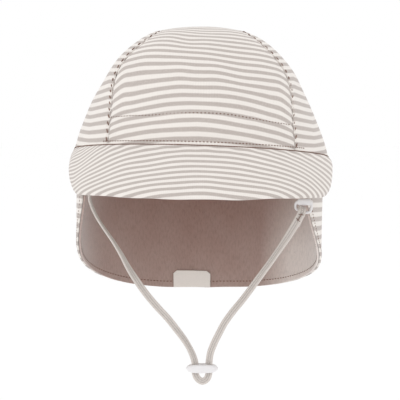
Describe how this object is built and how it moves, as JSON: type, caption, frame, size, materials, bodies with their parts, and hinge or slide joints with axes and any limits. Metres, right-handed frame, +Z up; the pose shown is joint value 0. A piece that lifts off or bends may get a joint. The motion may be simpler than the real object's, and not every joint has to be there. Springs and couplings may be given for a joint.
{
  "type": "legionnaire cap",
  "caption": "Small child's striped jersey legionnaire cap with a padded peak, lined neck flap and chin cord with toggle and hook.",
  "frame": {"origin": "middle of the head opening at the height of the rim seam at the sides", "axes": "-Y towards the front of the peak, +X towards the side with the hook, +Z up through the crown"},
  "size_m": [0.1582, 0.2098, 0.2118],
  "materials": {
    "striped_jersey": "cotton jersey with woven-in narrow stripes, matt",
    "plain_jersey": "plain cotton jersey, matt mauve",
    "woven_label": "woven cotton tape, bare",
    "braid": "flat cotton braid and tape, matt",
    "white_plastic": "moulded white plastic, satin"
  },
  "bodies": {
    "root": {"crown_centre_panel": "striped_jersey", "crown_side_left": "striped_jersey", "crown_side_right": "striped_jersey", "peak": "striped_jersey", "flap_outer": "striped_jersey", "flap_lining": "plain_jersey", "label": "woven_label", "hook": "white_plastic", "hook_tape": "braid", "chin_cord": "braid", "toggle": "white_plastic"}
  },
  "joints": []
}
